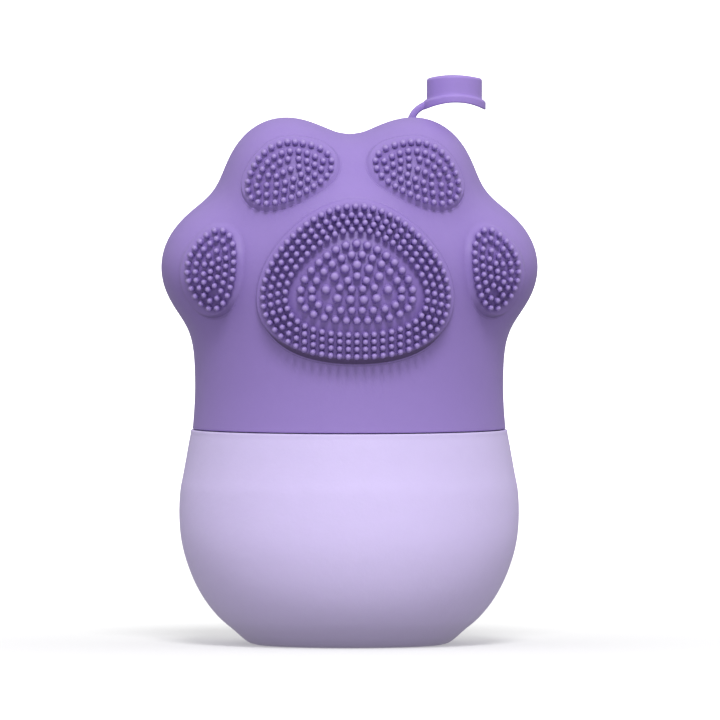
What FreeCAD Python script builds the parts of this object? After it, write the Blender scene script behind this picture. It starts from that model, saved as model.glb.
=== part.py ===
import FreeCAD, Part
import os
import math

# Cat-paw facial cleansing brush and ice roller: a round silicone holder, a
# hollow paw-shaped silicone cover with a bristled palm pad and four bristled
# toe pads, and a tethered filler plug.  Millimetres, +Z up, brush side at -Y,
# origin at the centre of the flat foot.

V = FreeCAD.Vector
os.makedirs("parts", exist_ok=True)

# ------------------------------------------------------------ driving sizes
SEAM_Z = 45.1            # top face of the holder's rim
SEAM_GAP = 0.2           # open joint line between holder and cover
SKIRT_Z = SEAM_Z + SEAM_GAP
COVER_WALL = 2.7         # silicone wall of the cover
SKIRT_R_IN = 29.6        # bore of the cover's skirt
SKIRT_BORE_TOP = 59.0    # the bore is a true cylinder up to here

HOLDER_WALL = 2.6
HOLDER_FLOOR = 3.0
FOOT_R = 19.6

COLLAR_R_IN = 26.4       # stiff collar that stands out of the holder's mouth
COLLAR_R_OUT = 29.3
COLLAR_LOW_Z = 37.0
COLLAR_TOP_Z = 57.0
GROOVE_Z = 50.6          # middle of the seal groove
GROOVE_W = 2.4
GROOVE_R = 27.9
SEAL_R_IN = 27.96
SEAL_R_OUT = 29.52
SEAL_W = 2.3

# paw surface: a round trunk, two top toes, two side toes and a palm swell,
# all blended together
ZC, HZ, R_TRUNK = 72.01, 32.91, 32.3
FLARE, FLARE_Z = 0.6, 56.0
TOE = (12.57, -2.5, 95.04)
TOE_R = (13.14, 19.5, 15.53)
TOE_A = 0.24
SIDE = (24.07, -2.0, 79.63)
SIDE_R = (15.21, 19.0, 13.32)
SIDE_A = 0.072
PALM = (0.0, -12.8, 76.0)
PALM_R = (22.0, 20.5, 19.0)
BLEND = 2.99

# height of the pads above the paw, at two heights z; it changes evenly between
PALM_RISE = ((96.0, 0.30), (60.0, 1.50))
TOP_RISE = ((109.0, 0.30), (90.0, 0.70))
SIDE_RISE = ((92.0, 0.40), (68.0, 0.80))
PAD_DEEP = 0.55          # depth of their pockets in the cover

# bristles stand along -Y, the way the mould opens: radius, then the length
# over the pad at two heights z, longer at the top where the pads fall back
FINE = (0.60, ((92.0, 2.9), (76.0, 2.1)))
TOEB = (0.58, ((93.0, 1.8), (88.0, 2.0)))
NUB = (0.80, ((84.5, 2.1), (70.0, 1.7)))
BIG = (0.94, ((81.0, 2.0), (73.0, 1.8)))
ROOT = 0.5               # how deep a root goes, square to the pad

# filler hole, plug and tether
PORT_TILT = math.radians(9.5)
PORT = (0.0, 3.0, 106.93)     # where the filler hole's axis leaves the cover
PORT_R = 6.0
SEAT_R = 7.05
SEAT_DEEP = 0.6
STEM_R = 5.82
STEM_H = 3.95
STEM_CROWN = 24.0             # the stem's end is arched like the flange, but less
FLANGE_R = 6.6
FLANGE_T = 1.75
FLANGE_BEND = 13.6            # the flange is arched to fit the valley between the toes
PLUG_X = 22.33                # the plug stands open beside the hole, upright
PLUG_Z = 113.7                # middle of its hollow underside
PLUG_GAP = 0.15
PRESS_STROKE = 4.8
TETHER_W = 3.4
TETHER_T = 1.6
STRAP = [(13.2, 109.5), (13.42, 110.6), (13.95, 111.6), (14.8, 112.4), (15.9, 112.98), (16.9, 113.3)]   # x, z


# ------------------------------------------------------------ paw surface
def ell(x, y, z, c, r):
    x -= c[0]; y -= c[1]; z -= c[2]
    a = x / r[0]; b = y / r[1]; d = z / r[2]
    k0 = math.sqrt(a * a + b * b + d * d + 1e-12)
    a /= r[0]; b /= r[1]; d /= r[2]
    k1 = math.sqrt(a * a + b * b + d * d + 1e-12)
    return k0 * (k0 - 1.0) / k1


CT, ST = math.cos(TOE_A), math.sin(TOE_A)
CS, SS = math.cos(SIDE_A), math.sin(SIDE_A)


def paw(x, y, z):
    """Signed height over the paw's surface, about true in mm near it."""
    ax = abs(x)
    if z < ZC:
        fz = max(FLARE_Z - z, 0.0)
        tr = math.sqrt(x * x + y * y + 1e-9) - R_TRUNK - FLARE * fz * fz / (FLARE_Z - 45.0) ** 2
    else:
        tr = ell(x, y, z, (0, 0, ZC), (R_TRUNK, R_TRUNK, HZ))
    dy, dz = y - TOE[1], z - TOE[2]
    dx = ax - TOE[0]
    t1 = ell(CT * dx - ST * dz, dy, ST * dx + CT * dz, (0, 0, 0), TOE_R)
    dx = -ax - TOE[0]
    t2 = ell(CT * dx - ST * dz, dy, ST * dx + CT * dz, (0, 0, 0), TOE_R)
    dx, dy, dz = ax - SIDE[0], y - SIDE[1], z - SIDE[2]
    s1 = ell(CS * dx - SS * dz, dy, SS * dx + CS * dz, (0, 0, 0), SIDE_R)
    pb = ell(x, y, z, PALM, PALM_R)
    D = (tr, t1, t2, s1, pb)
    m = min(D)
    return m - BLEND * math.log(sum(math.exp((m - d) / BLEND) for d in D))


def cast(o, d, h, far=90.0):
    """Distance from o along d to the surface at height h, or h(z)."""
    lo, hi = 0.0, far
    for _ in range(36):
        m = 0.5 * (lo + hi)
        z = o[2] + d[2] * m
        if paw(o[0] + d[0] * m, o[1] + d[1] * m, z) < (h(z) if callable(h) else h):
            lo = m
        else:
            hi = m
    return lo


def normal(p):
    e = 1e-3
    g = [paw(p[0] + e, p[1], p[2]) - paw(p[0] - e, p[1], p[2]),
         paw(p[0], p[1] + e, p[2]) - paw(p[0], p[1] - e, p[2]),
         paw(p[0], p[1], p[2] + e) - paw(p[0], p[1], p[2] - e)]
    n = math.sqrt(sum(t * t for t in g))
    return [t / n for t in g]


# ------------------------------------------------------------ spline surface
def solve(A, B):
    """Dense linear solve, B has many right-hand sides."""
    n = len(A)
    A = [row[:] for row in A]
    B = [row[:] for row in B]
    for i in range(n):
        p = max(range(i, n), key=lambda k: abs(A[k][i]))
        A[i], A[p] = A[p], A[i]
        B[i], B[p] = B[p], B[i]
        for k in range(i + 1, n):
            f = A[k][i] / A[i][i]
            if f:
                for j in range(i, n):
                    A[k][j] -= f * A[i][j]
                for j in range(len(B[0])):
                    B[k][j] -= f * B[i][j]
    X = [None] * n
    for i in range(n - 1, -1, -1):
        X[i] = [(B[i][j] - sum(A[i][k] * X[k][j] for k in range(i + 1, n))) / A[i][i]
                for j in range(len(B[0]))]
    return X


def basis(knots, i, t):
    """The four cubic basis values at t in knot span i."""
    N = [1.0, 0, 0, 0]
    left, right = [0.0] * 4, [0.0] * 4
    for j in range(1, 4):
        left[j] = t - knots[i + 1 - j]
        right[j] = knots[i + j] - t
        s = 0.0
        for r in range(j):
            q = N[r] / (right[r + 1] + left[j - r])
            N[r] = s + right[r + 1] * q
            s = left[j - r] * q
        N[j] = s
    return N


def tube_face(rows):
    """Closed cubic face through rings of points, rows[v][u]."""
    M, N = len(rows), len(rows[0])
    # around: periodic
    A = [[0.0] * N for _ in range(N)]
    for i in range(N):
        A[i][(i - 1) % N] += 1 / 6.0
        A[i][i] += 4 / 6.0
        A[i][(i + 1) % N] += 1 / 6.0
    B = [[c for v in range(M) for c in rows[v][u]] for u in range(N)]
    P = solve(A, B)                      # P[u][3*v+k]
    # along: clamped, natural ends
    kn = [0.0] * 4 + [float(k) for k in range(1, M - 1)] + [float(M - 1)] * 4
    C = []
    for v in range(M):
        row = [0.0] * (M + 2)
        sp = min(v, M - 2) + 3
        for j, b in enumerate(basis(kn, sp, float(v))):
            row[sp - 3 + j] += b
        C.append(row)
    e0 = [0.0] * (M + 2)
    e0[0], e0[1], e0[2] = 2.0, -3.0, 1.0
    e1 = [0.0] * (M + 2)
    e1[-1], e1[-2], e1[-3] = 2.0, -3.0, 1.0
    C = [C[0], e0] + C[1:-1] + [e1, C[-1]]
    R = [[P[u][3 * v + k] for u in range(N) for k in range(3)] for v in range(M)]
    zero = [0.0] * (3 * N)
    R = [R[0], zero] + R[1:-1] + [zero, R[-1]]
    Q = solve(C, R)                      # Q[v][3*u+k]
    # the ring's first point sits at the second pole of a periodic spline
    poles = [[V(*[Q[v][3 * ((u - 1) % N) + k] for k in range(3)]) for v in range(M + 2)]
             for u in range(N)]
    s = Part.BSplineSurface()
    s.buildFromPolesMultsKnots(poles, [1] * (N + 1), [4] + [1] * (M - 2) + [4],
                               [float(i) for i in range(N + 1)], [float(i) for i in range(M)],
                               True, False, 3, 3)
    return s.toShape()


def cap(face, top):
    """Flat or filled cap on one end ring of a tube face."""
    best = None
    for e in face.Edges:
        if e.isClosed():
            z = e.BoundBox.ZMax
            if best is None or (z > best[0]) == top:
                best = (z, e)
    return Part.Face(Part.Wire([best[1]]))


NU = 72
RAYS = []
for k in range(9):
    RAYS.append((SKIRT_Z + (66.0 - SKIRT_Z) * k / 8.0, 0.0))
for k in range(1, 27):
    t = k / 26.0
    RAYS.append((66.0 + 8.0 * math.sin(0.5 * math.pi * min(1.0, 1.6 * t)), math.radians(87.6) * t))


def paw_solid(h, skirt=None):
    rows = []
    for z0, el in RAYS:
        row = []
        for u in range(NU):
            a = 2 * math.pi * u / NU
            d = (math.cos(a) * math.cos(el), math.sin(a) * math.cos(el), math.sin(el))
            r = cast((0, 0, z0), d, h)
            if skirt is not None and el == 0.0:
                w = min(1.0, max(0.0, (z0 - SKIRT_BORE_TOP) / 6.0))
                w = w * w * (3 - 2 * w)
                r = skirt + (r - skirt) * w
            row.append((d[0] * r, d[1] * r, z0 + d[2] * r))
        rows.append(row)
    # the last ring is made flat so that a plane closes it; the filler hole
    # later removes that spot
    zt = sum(p[2] for p in rows[-1]) / NU
    rows[-1] = [(p[0], p[1], zt) for p in rows[-1]]
    f = tube_face(rows)
    sh = Part.makeShell([f, cap(f, True), cap(f, False)])
    sh.sewShape()
    s = Part.makeSolid(sh)
    s.fix(1e-5, 1e-5, 1e-3)
    assert s.isValid() and s.Volume > 0
    return s


def dirvec(tilt):
    return V(0, math.sin(tilt), math.cos(tilt))


A_DIR = dirvec(PORT_TILT)
B_DIR = V(0, math.cos(PORT_TILT), -math.sin(PORT_TILT))
PORT_P = V(*PORT)
B_AT = PORT_P.dot(B_DIR)


def at(x, a):
    """Point at x, height a along the filler hole's tilted axis."""
    return V(x, 0, 0) + A_DIR * a + B_DIR * B_AT


PORT_A = PORT_P.dot(A_DIR)

# half a turn about this axis takes the upright plug over the tilted hole
Z_DIR = V(0, 0, 1)
SWING_DIR = Z_DIR - A_DIR
SWING_DIR.normalize()
HOVER = PORT_P + A_DIR * (PLUG_GAP - SEAT_DEEP + FLANGE_T + PRESS_STROKE)
PLUG_Y = HOVER.y - (PLUG_Z - HOVER.z) * SWING_DIR.z / SWING_DIR.y
PLUG_P = V(PLUG_X, PLUG_Y, PLUG_Z)
SWING_P = (PLUG_P + HOVER) * 0.5

# ------------------------------------------------------------ paw cover
outer = paw_solid(0.0)
inner = paw_solid(-COVER_WALL, SKIRT_R_IN)
cover = outer.cut(inner)
hole = Part.makeCylinder(PORT_R, 12.0, at(0, PORT_A - 8.0), A_DIR)
seat = Part.makeCylinder(SEAT_R, 9.0, at(0, PORT_A - 3.0), A_DIR)
bowl_r = FLANGE_BEND + FLANGE_T
bowl = Part.makeCylinder(bowl_r, 40.0, at(0, PORT_A - SEAT_DEEP + bowl_r) - B_DIR * 20.0, B_DIR)
seat = seat.common(bowl)
cover = cover.cut(hole).cut(seat)

# ------------------------------------------------------------ pads
# closed curves in the XZ plane: mean, then cosine and sine terms
RING = {
    # name: (count, phase, x terms, z terms) ; x = sum b sin(kt), z = a0 + sum a cos(kt)
    "fine_a": (60, 0.0, (18.74, .54, -.47, -.33, .04), (75.84, -15.96, .79, .41, .32, -.06)),
    "fine_b": (55, 0.0, (17.21, .51, -.49, -.33, .03), (75.79, -14.33, .77, .44, .28, -.06)),
    "fine_c": (50, 0.0, (15.69, .53, -.49, -.33, .03), (75.84, -12.81, .77, .41, .24, -.08)),
    "fine_d": (45, 0.0, (14.18, .51, -.49, -.34, .06), (75.83, -11.29, .79, .40, .22, -.10)),
    "nub_a": (28, 0.0, (11.08, .45, -.47, -.28, .06), (75.90, -8.22, .80, .31, .15, -.11)),
    "nub_b": (22, 0.5, (8.90, .43, -.44, -.25), (75.98, -6.02, .77, .20, .10)),
    "nub_c": (7, 0.5, (3.16, .34, -.48), (76.46, -1.36, .40, .04)),
}
LARGE = ((1.38, 73.24), (4.05, 73.55), (6.45, 75.35), (4.62, 78.06), (2.50, 79.69))
TOP_RIM = (27, (-13.74, -4.81, 6.67, -.15, -.25, .33, .39, -.10, .13, .12, -.02),
           (99.57, -6.01, -2.04, -.24, .41, -.19, .30, -.09, .02, .06, .07))
TOP_FIELD = ((-18.27, 94.90), (-16.42, 95.25), (-14.68, 95.72), (-12.96, 96.35), (-11.31, 97.14), (-9.74, 98.00), (-8.23, 99.03),
             (-6.87, 100.25), (-6.39, 101.88), (-8.04, 102.80), (-9.72, 103.51), (-11.47, 103.92), (-13.30, 103.92),
             (-15.00, 103.55), (-16.59, 102.75), (-17.96, 101.60), (-19.05, 100.13), (-19.79, 98.52), (-20.28, 96.74),
             (-19.90, 95.18), (-18.23, 96.88), (-16.18, 96.98), (-14.43, 97.49), (-12.73, 98.17), (-11.11, 99.08),
             (-9.60, 100.11), (-8.23, 101.14), (-9.82, 101.86), (-11.52, 102.34), (-13.76, 102.28), (-15.43, 101.64),
             (-16.84, 100.50), (-17.85, 98.91), (-16.21, 98.71), (-14.82, 99.55), (-13.26, 100.23), (-11.49, 100.72))
SIDE_RIM = (23, (-29.56, -1.01, 4.82, .42, .0, -.06, .31, -.03, -.02, .0, .07),
            (79.24, -7.58, -.67, -.02, -.18, -.49, -.02, .03, -.15, -.11, -.01))
SIDE_FIELD = ((-30.07, 72.68), (-28.62, 73.22), (-27.84, 74.77), (-27.39, 76.49), (-27.03, 78.20), (-26.85, 79.94),
              (-26.75, 81.65), (-26.89, 83.48), (-27.35, 85.16), (-28.66, 85.60), (-29.98, 84.63), (-31.29, 83.43),
              (-32.23, 82.00), (-32.81, 80.39), (-33.05, 78.71), (-32.86, 76.95), (-32.24, 75.32), (-31.25, 73.80),
              (-30.49, 75.05), (-29.15, 75.84), (-28.55, 77.65), (-28.37, 79.46), (-28.27, 81.36), (-28.70, 83.14),
              (-30.32, 82.00), (-31.15, 80.29), (-31.37, 78.30), (-31.32, 76.55), (-30.03, 77.36), (-29.97, 78.83),
              (-29.65, 80.44))


def sym(ring, t):
    _, _, b, a = ring
    return (sum(c * math.sin((k + 1) * t) for k, c in enumerate(b)),
            sum(c * math.cos(k * t) for k, c in enumerate(a)))


def gen(xs, zs, t):
    def f(c):
        s = c[0]
        for k in range(1, (len(c) + 1) // 2):
            s += c[2 * k - 1] * math.cos(k * t) + c[2 * k] * math.sin(k * t)
        return s
    return f(xs), f(zs)


def offset(pts, d, shift=(0, 0)):
    n = len(pts)
    area = sum(pts[i][0] * pts[(i + 1) % n][1] - pts[(i + 1) % n][0] * pts[i][1] for i in range(n))
    s = 1.0 if area > 0 else -1.0
    out = []
    for i in range(n):
        ax, az = pts[i - 1]
        bx, bz = pts[(i + 1) % n]
        tx, tz = bx - ax, bz - az
        q = math.hypot(tx, tz)
        out.append((pts[i][0] + s * d * tz / q + shift[0], pts[i][1] - s * d * tx / q + shift[1]))
    return out


def closed(fn, n=40):
    return [fn(2 * math.pi * i / n) for i in range(n)]


palm_line = closed(lambda t: (sym((0, 0, (19.98, .58, -.49, -.34, .04), (75.93, -17.46, .78, .42, .32, -.07)), t)))
top_line = offset(closed(lambda t: gen(TOP_RIM[1], TOP_RIM[2], t)), 1.5, (0.25, -0.19))
side_line = offset(closed(lambda t: gen(SIDE_RIM[1], SIDE_RIM[2], t)), 1.75, (0.3, -0.25))

sunk = paw_solid(-PAD_DEEP)
lifted = {}


def rise_at(rise, z):
    (z0, h0), (z1, h1) = rise
    t = min(1.0, max(0.0, (z0 - z) / (z0 - z1)))
    return h0 + (h1 - h0) * t


def pad(line, rise):
    if rise not in lifted:
        lifted[rise] = paw_solid(lambda z: rise_at(rise, z))
    c = Part.BSplineCurve()
    c.interpolate([V(x, -6.0, z) for x, z in line], PeriodicFlag=True)
    prism = Part.Face(Part.Wire([c.toShape()])).extrude(V(0, -40, 0))
    s = lifted[rise].common(prism).cut(sunk)
    big = [k for k in s.Solids if k.Volume > 5.0]
    assert len(big) == 1, len(big)
    return big[0]


def mirror(line):
    return [(-x, z) for x, z in reversed(line)]


pads = {
    "palm_pad": pad(palm_line, PALM_RISE),
    "toe_pad_top_left": pad(top_line, TOP_RISE),
    "toe_pad_top_right": pad(mirror(top_line), TOP_RISE),
    "toe_pad_side_left": pad(side_line, SIDE_RISE),
    "toe_pad_side_right": pad(mirror(side_line), SIDE_RISE),
}
for p in pads.values():                  # shallow pockets that the pads sit in
    cover = cover.cut(p)
cover = max(cover.Solids, key=lambda k: k.Volume)


# ------------------------------------------------------------ bristles
def peg(r, length):
    """Round-ended peg along -Y with its tip at the origin."""
    e = [Part.makeLine(V(0, length, 0), V(r, length, 0)),
         Part.makeLine(V(r, length, 0), V(r, r, 0)),
         Part.Arc(V(r, r, 0), V(r * math.sin(math.pi / 4), r - r * math.cos(math.pi / 4), 0), V(0, 0, 0)).toShape(),
         Part.makeLine(V(0, 0, 0), V(0, length, 0))]
    return Part.Face(Part.Wire(e)).revolve(V(0, 0, 0), V(0, 1, 0), 360.0)


def plant(places, kind, rise):
    r, lengths = kind
    out = []
    for x, z in places:
        h = rise_at(rise, z)
        stand = rise_at(lengths, z)
        d = cast((x, 0, z), (0, -1, 0), h, 60.0)
        n = normal((x, -d, z))
        c = max(-n[1], 0.3)
        s = math.sqrt(max(0.0, 1.0 - c * c))
        root = max(0.12, min(ROOT, h + PAD_DEEP - 0.04 - r * s)) / c
        k = peg(r, stand + root)
        if k.ShapeType != "Solid":
            k = k.Solids[0]
        k.translate(V(x, -d - stand, z))
        out.append(k)
    return Part.makeCompound(out)


def ring_places(name):
    n, half = RING[name][:2]
    return [sym(RING[name], 2 * math.pi * (i + half) / n) for i in range(n)]


def toe_places(rim, field):
    n, xs, zs = rim
    return [gen(xs, zs, 2 * math.pi * i / n) for i in range(n)] + list(field)


def mx(places):
    return [(-x, z) for x, z in places]


top_p, side_p = toe_places(TOP_RIM, TOP_FIELD), toe_places(SIDE_RIM, SIDE_FIELD)


# ------------------------------------------------------------ holder
PROFILE = [(FOOT_R, 0.0), (21.0, 0.42), (22.45, 1.45), (24.10, 2.92), (27.08, 5.44), (29.91, 8.80),
           (32.36, 13.00), (34.30, 18.04), (35.27, 22.24), (35.66, 27.28), (35.43, 32.48),
           (34.84, 35.68), (34.23, 39.04), (33.64, 42.40), (33.30, 44.10)]


def revolve(pts_edges):
    return Part.Face(Part.Wire(pts_edges)).revolve(V(0, 0, 0), V(0, 0, 1), 360.0)


def spline(pts):
    c = Part.BSplineCurve()
    c.interpolate([V(r, 0, z) for r, z in pts])
    return c.toShape()


def line(a, b):
    return Part.makeLine(V(a[0], 0, a[1]), V(b[0], 0, b[1]))


# inner profile: the outer one moved inwards by the wall
inner_profile = []
for i in range(3, len(PROFILE) - 1):
    (ar, az), (br, bz) = PROFILE[i - 1], PROFILE[i + 1]
    tr, tz = br - ar, bz - az
    q = math.hypot(tr, tz)
    inner_profile.append((PROFILE[i][0] - HOLDER_WALL * tz / q, PROFILE[i][1] + HOLDER_WALL * tr / q))
inner_profile = [(18.6, HOLDER_FLOOR)] + [p for p in inner_profile if p[1] > HOLDER_FLOOR + 0.6 and p[1] < COLLAR_LOW_Z - 1.0]
mouth_r = 31.0
inner_profile.append((mouth_r + 0.9, COLLAR_LOW_Z - 0.6))
rim_round = Part.Arc(V(33.30, 0, 44.10), V(33.12, 0, SEAM_Z - 0.17), V(32.75, 0, SEAM_Z)).toShape()
holder = revolve([
    line((0, 0), PROFILE[0]), spline(PROFILE), rim_round,
    line((32.75, SEAM_Z), (mouth_r, SEAM_Z)), line((mouth_r, SEAM_Z), (mouth_r, COLLAR_LOW_Z - 0.6)),
    line((mouth_r, COLLAR_LOW_Z - 0.6), inner_profile[-1]),
    spline(list(reversed(inner_profile))),
    line(inner_profile[0], (0, HOLDER_FLOOR)), line((0, HOLDER_FLOOR), (0, 0))])

# stiff collar: a ring bonded in the mouth, standing up inside the skirt
gz0, gz1 = GROOVE_Z - GROOVE_W / 2, GROOVE_Z + GROOVE_W / 2
pts = [(COLLAR_R_IN, COLLAR_LOW_Z), (mouth_r, COLLAR_LOW_Z), (mouth_r, SEAM_Z - 0.6), (COLLAR_R_OUT, SEAM_Z - 0.6),
       (COLLAR_R_OUT, gz0), (GROOVE_R, gz0), (GROOVE_R, gz1), (COLLAR_R_OUT, gz1),
       (COLLAR_R_OUT, COLLAR_TOP_Z - 1.0), (COLLAR_R_OUT - 1.0, COLLAR_TOP_Z), (COLLAR_R_IN, COLLAR_TOP_Z)]
collar = revolve([line(pts[i], pts[(i + 1) % len(pts)]) for i in range(len(pts))])

# seal ring in the groove, with a rounded outer lip
s0, s1 = GROOVE_Z - SEAL_W / 2, GROOVE_Z + SEAL_W / 2
seal = revolve([
    line((SEAL_R_IN, s0), (SEAL_R_OUT - 0.6, s0)),
    Part.Arc(V(SEAL_R_OUT - 0.6, 0, s0), V(SEAL_R_OUT, 0, GROOVE_Z), V(SEAL_R_OUT - 0.6, 0, s1)).toShape(),
    line((SEAL_R_OUT - 0.6, s1), (SEAL_R_IN, s1)), line((SEAL_R_IN, s1), (SEAL_R_IN, s0))])

# ------------------------------------------------------------ plug and tether
Y_DIR = V(0, 1, 0)


def arch(r, z_top):
    """Solid cylinder along Y whose crest is at z_top over the plug's middle."""
    return Part.makeCylinder(r, 60.0, V(PLUG_X, PLUG_Y - 30.0, z_top - r), Y_DIR)


c_low = arch(FLANGE_BEND, PLUG_Z)
disc = Part.makeCylinder(FLANGE_R, 12.0, V(PLUG_X, PLUG_Y, PLUG_Z - 5.0), Z_DIR)
flange = disc.common(arch(FLANGE_BEND + FLANGE_T, PLUG_Z + FLANGE_T)).cut(c_low)
stem = Part.makeCylinder(STEM_R, 20.0, V(PLUG_X, PLUG_Y, PLUG_Z - 4.0), Z_DIR)
stem = stem.common(arch(STEM_CROWN, PLUG_Z + FLANGE_T + STEM_H))
stem = max(stem.Solids, key=lambda k: k.Volume).removeSplitter()
edge = [e for e in stem.Edges if e.CenterOfMass.z > PLUG_Z + 3.5 and e.Length > 5.0]
stem = stem.makeFillet(0.45, edge)
stem = stem.cut(c_low)
plug = flange.fuse(stem).removeSplitter()
plug = max(plug.Solids, key=lambda k: k.Volume)


def ribbon(mid, t, w):
    """Bent flat strap of thickness t and width w along a line in the plug's XZ plane."""
    up, dn = [], []
    for i in range(len(mid)):
        a = mid[max(i - 1, 0)]
        b = mid[min(i + 1, len(mid) - 1)]
        q = math.hypot(b[0] - a[0], b[1] - a[1])
        nx, nz = -(b[1] - a[1]) / q, (b[0] - a[0]) / q
        up.append(V(mid[i][0] + nx * t / 2, PLUG_Y, mid[i][1] + nz * t / 2))
        dn.append(V(mid[i][0] - nx * t / 2, PLUG_Y, mid[i][1] - nz * t / 2))

    def crv(p):
        c = Part.BSplineCurve()
        c.interpolate(p)
        return c.toShape()
    w0 = Part.Wire([crv(up), Part.makeLine(up[-1], dn[-1]), crv(dn), Part.makeLine(dn[0], up[0])])
    f = Part.Face(w0)
    f.translate(V(0, -w / 2, 0))
    return f.extrude(V(0, w, 0))


strap = ribbon(STRAP, TETHER_T, TETHER_W)
strap = strap.cut(Part.makeCylinder(FLANGE_R + 0.1, 12.0, V(PLUG_X, PLUG_Y, PLUG_Z - 5.0), Z_DIR))
# its root stays clear of the cover while it swings, so it ends just above it
guard = paw_solid(0.3)
for turn in (0.0, 6.0, 11.0):
    g = guard.copy()
    g.rotate(SWING_P, SWING_DIR, turn)
    strap = strap.cut(g)
strap = max(strap.Solids, key=lambda k: k.Volume)

# ------------------------------------------------------------ write
NODES = {
    "base_shell": holder,
    "rim_collar": collar,
    "collar_seal": seal,
    "paw_cover": cover,
    **pads,
    "palm_fine_bristles": plant(sum([ring_places("fine_" + k) for k in "abcd"], []), FINE, PALM_RISE),
    "palm_nubs": plant(ring_places("nub_a") + ring_places("nub_b") + ring_places("nub_c"), NUB, PALM_RISE),
    "palm_large_nubs": plant([(0.0, 80.5)] + list(LARGE) + mx(LARGE), BIG, PALM_RISE),
    "toe_bristles_top_left": plant(top_p, TOEB, TOP_RISE),
    "toe_bristles_top_right": plant(mx(top_p), TOEB, TOP_RISE),
    "toe_bristles_side_left": plant(side_p, TOEB, SIDE_RISE),
    "toe_bristles_side_right": plant(mx(side_p), TOEB, SIDE_RISE),
    "plug_tether": strap,
    "fill_plug": plug,
}
for name, shape in NODES.items():
    bb = shape.BoundBox
    print("%-26s solids %3d valid %s vol %.1f  x %.2f..%.2f y %.2f..%.2f z %.2f..%.2f" % (
        name, len(shape.Solids), shape.isValid(), shape.Volume, bb.XMin, bb.XMax, bb.YMin, bb.YMax, bb.ZMin, bb.ZMax))
    shape.exportStep("parts/%s.step" % name)
print("swing axis at", SWING_P, "direction", SWING_DIR, "plug at", PLUG_P, "hovers at", HOVER)
print("port axis point", PORT_P, "axis", A_DIR)
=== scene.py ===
import bpy
import math
import numpy as np
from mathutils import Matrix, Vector


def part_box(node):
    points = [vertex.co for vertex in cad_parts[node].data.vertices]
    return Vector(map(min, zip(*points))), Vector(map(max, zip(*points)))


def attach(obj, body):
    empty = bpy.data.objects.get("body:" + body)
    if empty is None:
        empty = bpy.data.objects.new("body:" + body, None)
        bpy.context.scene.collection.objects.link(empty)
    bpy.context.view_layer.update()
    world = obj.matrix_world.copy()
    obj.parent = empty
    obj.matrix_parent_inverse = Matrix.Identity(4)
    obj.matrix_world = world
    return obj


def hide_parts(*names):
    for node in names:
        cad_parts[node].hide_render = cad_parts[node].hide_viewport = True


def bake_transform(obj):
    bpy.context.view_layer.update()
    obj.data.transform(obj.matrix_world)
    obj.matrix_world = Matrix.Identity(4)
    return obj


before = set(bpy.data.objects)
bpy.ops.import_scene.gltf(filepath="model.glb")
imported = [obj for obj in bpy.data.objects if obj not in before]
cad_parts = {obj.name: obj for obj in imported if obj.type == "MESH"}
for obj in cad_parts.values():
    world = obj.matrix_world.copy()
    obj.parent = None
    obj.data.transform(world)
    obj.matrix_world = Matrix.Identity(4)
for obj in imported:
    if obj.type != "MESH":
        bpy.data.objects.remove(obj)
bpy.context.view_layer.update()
MM = 0.001
NODE_BOX = {n: [[c / MM for c in p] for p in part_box(n)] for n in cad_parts}

# ------------------------------------------------------------------ sizes, mm
SEAM_Z = NODE_BOX["base_shell"][1][2]
SKIRT_Z = NODE_BOX["paw_cover"][0][2]
COVER_WALL = 2.7
SKIRT_R_IN = 29.6
SKIRT_BORE_TOP = 59.0
ZC, HZ, R_TRUNK = 72.01, 32.91, 32.3
FLARE, FLARE_Z = 0.6, 56.0
TOE, TOE_R, TOE_A = (12.57, -2.5, 95.04), (13.14, 19.5, 15.53), 0.24
SIDE, SIDE_R, SIDE_A = (24.07, -2.0, 79.63), (15.21, 19.0, 13.32), 0.072
PALM, PALM_R = (0.0, -12.8, 76.0), (22.0, 20.5, 19.0)
BLEND = 2.99
PALM_RISE = ((96.0, 0.30), (60.0, 1.50))
TOP_RISE = ((109.0, 0.30), (90.0, 0.70))
SIDE_RISE = ((92.0, 0.40), (68.0, 0.80))
TILT = math.radians(9.5)
A_DIR = np.array([0, math.sin(TILT), math.cos(TILT)])
B_DIR = np.array([0, math.cos(TILT), -math.sin(TILT)])
PORT = np.array([0, 3.0, 106.93])
PORT_R, SEAT_R, SEAT_DEEP = 6.0, 7.05, 0.6
FLANGE_R, FLANGE_T, FLANGE_BEND = 6.6, 1.75, 13.6
STEM_R, STEM_H, STEM_CROWN = 5.82, 3.95, 24.0
PLUG = np.array([22.33, 4.0694, 113.7])
B_AT = float(PORT @ B_DIR)
PORT_A = float(PORT @ A_DIR)


def at(x, a, b=0.0):
    x, a, b = np.broadcast_arrays(np.asarray(x, float), np.asarray(a, float), np.asarray(b, float))
    return x[..., None] * np.array([1.0, 0, 0]) + a[..., None] * A_DIR + (b[..., None] + B_AT) * B_DIR


# ------------------------------------------------------------------ paw surface
def ell(x, y, z, r):
    a, b, d = x / r[0], y / r[1], z / r[2]
    k0 = np.sqrt(a * a + b * b + d * d + 1e-12)
    a, b, d = a / r[0], b / r[1], d / r[2]
    k1 = np.sqrt(a * a + b * b + d * d + 1e-12)
    return k0 * (k0 - 1.0) / k1


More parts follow.
